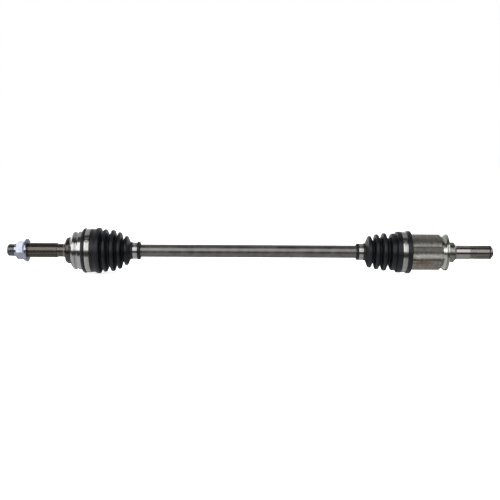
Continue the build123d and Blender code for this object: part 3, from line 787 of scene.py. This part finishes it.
# ---------------------------------------------------------------- the studio
@dataclass
class Studio:
    """The floor, the soft light and the camera."""

    distance: float = 1.611
    side_step: float = -1.2 * MM
    elevation: float = 6.0  # degrees
    focal_length: float = 64.2  # millimetres
    roll: float = -0.3  # degrees
    aim_height: float = 2.1 * MM
    floor_glow: float = 0.75
    floor_size: float = 30.0
    # the light all round, as (degrees above the camera's side, brightness)
    strips: tuple = (
        (-180, 0.25), (-172, 0.22), (-167, 0.03), (-150, 0.03), (-144, 0.34), (-32, 0.34), (-25, 0.03),
        (3, 0.03), (8, 1.0), (50, 1.0), (56, 0.03), (91, 0.03), (97, 0.28), (152, 0.28), (158, 0.9),
        (171, 0.9), (178, 0.25),
    )
    wheel_side_light: float = 2.0
    gearbox_side_light: float = 1.25
    light_turnover: float = 0.3  # how far either way, along X, one side's light turns into the other's
    lamp_size: Point = (3.0, 2.4)
    lamp_power: float = 70.0
    lamp_place: tuple[float, float, float] = (0, -0.3, 1.9)

    def build(self) -> None:
        """Builds the floor, the light and the camera."""
        self.floor()
        self.sky()
        self.lamp()
        self.camera()

    def floor(self) -> None:
        """Lays a plain white floor under the axle."""
        low, _ = CAD_BOX
        bpy.ops.object.select_all(action="DESELECT")
        bpy.ops.mesh.primitive_plane_add(size=self.floor_size, location=(0, 0, low[2]))
        ground = bpy.context.object
        ground.name = "floor"
        material = bpy.data.materials.new("lit_white_paper")
        material.use_nodes = True
        shader = material.node_tree.nodes["Principled BSDF"]
        shader.inputs["Base Color"].default_value = linear("f4f4f4")
        shader.inputs["Roughness"].default_value = 0.9
        shader.inputs["Emission Color"].default_value = (1, 1, 1, 1)
        shader.inputs["Emission Strength"].default_value = self.floor_glow
        dress(ground, material)
        ground.visible_glossy = False

    def sky(self) -> None:
        """Sets the light all round: bright strips with dark gaps between them, and plain white to look at."""
        world = bpy.data.worlds.new("studio")
        bpy.context.scene.world = world
        world.use_nodes = True
        tree = world.node_tree
        tree.nodes.clear()
        way = add_node(tree, "ShaderNodeTexCoord").outputs["Generated"]
        split = add_node(tree, "ShaderNodeSeparateXYZ", {0: way})
        toward = add_node(tree, "ShaderNodeMath", {0: split.outputs["Y"], 1: -1.0}, operation="MULTIPLY")
        angle = add_node(tree, "ShaderNodeMath", {0: split.outputs["Z"], 1: toward.outputs[0]},
                         operation="ARCTAN2")
        around = add_node(tree, "ShaderNodeMapRange",
                          {"Value": angle.outputs[0], "From Min": -math.pi, "From Max": math.pi})
        stops = [((degrees + 180) / 360, (level, level, level, 1.0)) for degrees, level in self.strips]
        ramp = add_node(tree, "ShaderNodeValToRGB", {0: around.outputs[0]}, stops=stops)
        side = add_node(tree, "ShaderNodeMapRange",
                        {"Value": split.outputs["X"],
                         "From Min": -self.light_turnover, "From Max": self.light_turnover,
                         "To Min": self.wheel_side_light, "To Max": self.gearbox_side_light})
        lit = add_node(tree, "ShaderNodeBackground", {"Color": ramp.outputs[0], "Strength": side.outputs[0]})
        plain = add_node(tree, "ShaderNodeBackground", {"Color": (1, 1, 1, 1), "Strength": 1.0})
        seen = add_node(tree, "ShaderNodeLightPath").outputs["Is Camera Ray"]
        both = add_node(tree, "ShaderNodeMixShader", {0: seen, 1: lit.outputs[0], 2: plain.outputs[0]})
        add_node(tree, "ShaderNodeOutputWorld", {"Surface": both.outputs[0]})
        bpy.context.scene.view_settings.view_transform = "Standard"

    def lamp(self) -> None:
        """Hangs one large soft light over the axle."""
        data = bpy.data.lights.new("overhead", "AREA")
        data.shape = "RECTANGLE"
        data.size, data.size_y = self.lamp_size
        data.energy = self.lamp_power
        lamp = bpy.data.objects.new("overhead", data)
        lamp.location = self.lamp_place
        lamp.visible_glossy = False
        bpy.context.scene.collection.objects.link(lamp)

    def camera(self) -> None:
        """Places the camera in front of the axle, a little above it."""
        data = bpy.data.cameras.new("camera")
        data.sensor_width, data.lens = 36.0, self.focal_length
        camera = bpy.data.objects.new("camera", data)
        lift = math.radians(self.elevation)
        height = self.distance * math.sin(lift) + self.aim_height
        camera.location = (self.side_step, -self.distance * math.cos(lift), height)
        camera.rotation_euler = (math.pi / 2 - lift, math.radians(self.roll), 0)
        bpy.context.scene.collection.objects.link(camera)
        bpy.context.scene.camera = camera


# ---------------------------------------------------------------- the axle
class Steel(Enum):
    """The plain hardened steels inside the joints, as (colour, roughness)."""

    BEARING = ("b4b6ba", 0.16)
    SPRING = ("3a3a3c", 0.34)


@dataclass
class Axle:
    """The whole axle: finishes for the CAD nodes, and the boots and clamps."""

    def build(self) -> None:
        """Builds the new pieces and dresses every node."""
        self.dress_wheel_end()
        self.dress_gearbox_end()
        self.dress_inside()
        rubber = MouldedRubber("moulded_chloroprene").build()
        boots = [OuterBoot("outer_boot_rubber", rubber).build()]
        boots += InnerBoot("inner_boot_rubber", rubber).build()
        band = RolledStrip("rolled_stainless_strip", "bdbcb9", 0.18).build()
        bodies = {"outer_boot_large_clamp": "outer_joint", "outer_boot_small_clamp": "bar",
                  "inner_boot_large_clamp": "inner_joint", "inner_boot_small_clamp": "bar"}
        clamps = [BandClamp(node, body, band).build() for node, body in bodies.items()]
        for piece in (*boots, *clamps):
            LOG.info("%s: %d faces", piece.name, len(piece.data.polygons))

    def dress_wheel_end(self) -> None:
        """Dresses the bell with its stub shaft, the nut and the bar."""
        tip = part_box("outer_joint_housing")[0][0]
        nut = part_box("axle_nut")[1][0]
        zones = (
            Zone(tip, "8a8b8f", 0.26),  # thread
            Zone(nut, "6f6862", 0.27),  # spline
            # painted highlight: this lighter band stands in for the bright ring of light where the spline
            # runs out
            Zone(nut + 54.0 * MM, "7a7672", 0.24),  # end of the spline
            Zone(nut + 56.0 * MM, "66605c", 0.26),  # neck
            # painted highlight: the root's lighter colour stands in for the highlight on the shoulder below
            # the boss
            Zone(nut + 64.5 * MM, "86817c", 0.24),  # root
            Zone(nut + 68.4 * MM, "55504e", 0.24),  # forged boss
            Zone(nut + 78.6 * MM, "bcbbbc", 0.16),  # turned bell
        )
        dress_nodes(TurnedSteel("turned_forged_steel", zones, mottle=0.12).build(), "outer_joint_housing")
        dress_nodes(ZincPlate("bright_zinc_plate", "b2b7c3", "9ca2af", 0.15).build(), "axle_nut")
        dress_nodes(DrawnBar("drawn_bar_steel").build(), "axle_bar")

    def dress_gearbox_end(self) -> None:
        """Dresses the tripod housing with its stub, and the dust deflector."""
        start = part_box("inner_joint_housing")[0][0]
        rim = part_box("dust_deflector")
        end = rim[1][0]
        zones = (
            Zone(start, "98968f", 0.38),  # cup
            Zone(end, "94928e", 0.26),  # boss
            Zone(end + 15.5 * MM, "b3b1ab", 0.17),  # seal journal
            Zone(end + 41.0 * MM, "84837f", 0.24),  # relief
            Zone(end + 51.5 * MM, "95938f", 0.2),  # spline
        )
        side, drop = -27.7 * MM, -16.9 * MM  # low on the front of the cup
        spots = tuple(Vector((start + along * MM, side, drop)) for along in (37, 46))
        housing = TurnedSteel("blasted_forged_steel", zones, mottle_size=4 * MM, mottle=0.42, stain=spots)
        dress_nodes(housing.build(), "inner_joint_housing")
        dress_nodes(ZincPlate("dull_zinc_plate", "c0c4bc", "b4b8ae", 0.17).build(), "dust_deflector")

    def dress_inside(self) -> None:
        """Dresses what is sealed in the two joints."""
        bearing = RolledStrip("ground_bearing_steel", *Steel.BEARING.value).build()
        spring = RolledStrip("blackened_spring_steel", *Steel.SPRING.value).build()
        inside = ["outer_inner_race", "ball_cage", "tripod_spider"]
        inside += [f"joint_ball_{i}" for i in range(1, 7)]
        rings = ["race_snap_ring", "spider_back_ring", "spider_front_ring", "gearbox_clip"]
        for i in range(1, 4):
            inside += [f"tripod_roller_{i}", f"needle_rollers_{i}"]
            rings += [f"needle_washer_{i}", f"roller_clip_{i}"]
        dress_nodes(bearing, *inside)
        dress_nodes(spring, *rings)
        dress_nodes(MouldedPlastic("moulded_black_plastic").build(), "boot_insert")


def main() -> None:
    """Builds the axle and its studio."""
    logging.basicConfig(level=logging.INFO)
    Axle().build()
    Studio().build()


if __name__ == "__main__":
    main()
